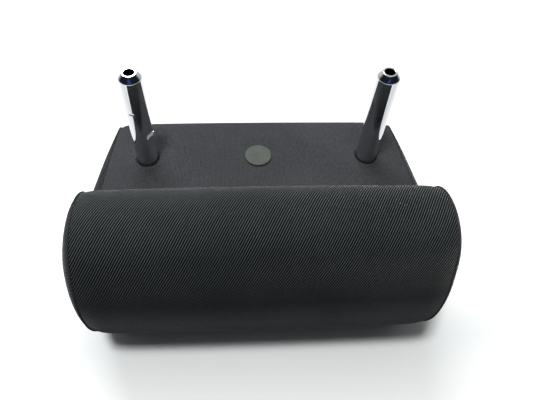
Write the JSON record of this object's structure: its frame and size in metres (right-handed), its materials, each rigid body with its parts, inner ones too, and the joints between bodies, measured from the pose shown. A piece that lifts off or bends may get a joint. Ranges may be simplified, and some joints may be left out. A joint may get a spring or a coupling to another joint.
{
  "type": "head restraint",
  "caption": "L-shaped padded head restraint on round chromed posts, with a push-in plug in its underside; the posts slide into guide sleeves in the top of a seat back.",
  "frame": {"origin": "middle of the base of the bounding box, on the surface that the part stands on upside down", "axes": "+Z along the posts towards their free ends; -Y is the side that the head rests on; +X to the right as seen from that side. On a seat the part is turned over, so its +Z points down."},
  "size_m": [0.221, 0.138, 0.144],
  "materials": {
    "post_chrome": "polished chrome plating",
    "eyelet_plastic": "fine matt moulded",
    "seal_rubber": "matt",
    "armature_steel": "black dip coat",
    "carrier_plastic": "plain moulded",
    "zinc_steel": "zinc plated",
    "plug_plastic": "fine matt moulded, grey-green",
    "foam": "moulded polyurethane foam",
    "twill": "charcoal diagonal twill",
    "end_twill": "charcoal diagonal twill",
    "knit": "fine plain knit, dark grey",
    "welt_cloth": "charcoal cloth",
    "strip_plastic": "extruded"
  },
  "bodies": {
    "restraint": {"left_post": "post_chrome", "right_post": "post_chrome", "left_eyelet": "eyelet_plastic", "right_eyelet": "eyelet_plastic", "left_post_seal": "seal_rubber", "right_post_seal": "seal_rubber", "cross_channel": "armature_steel", "left_saddle": "armature_steel", "right_saddle": "armature_steel", "bolster_loop": "armature_steel", "carrier_front_shell": "carrier_plastic", "carrier_rear_shell": "carrier_plastic", "carrier_screws": "zinc_steel", "pour_port_collar": "carrier_plastic", "foam_block": "foam", "cover_wrap": "twill", "cover_underside": "knit", "cover_left_end": "end_twill", "cover_right_end": "end_twill", "left_welt": "welt_cloth", "right_welt": "welt_cloth", "closure_hook_strip": "strip_plastic", "closure_catch_strip": "strip_plastic"},
    "plug": {"pour_port_plug": "plug_plastic"}
  },
  "joints": [
    {"name": "plug_pull", "type": "slide", "parent": "restraint", "child": "plug", "axis": [0, 0, 1], "range_m": [0, 0.016]}
  ]
}
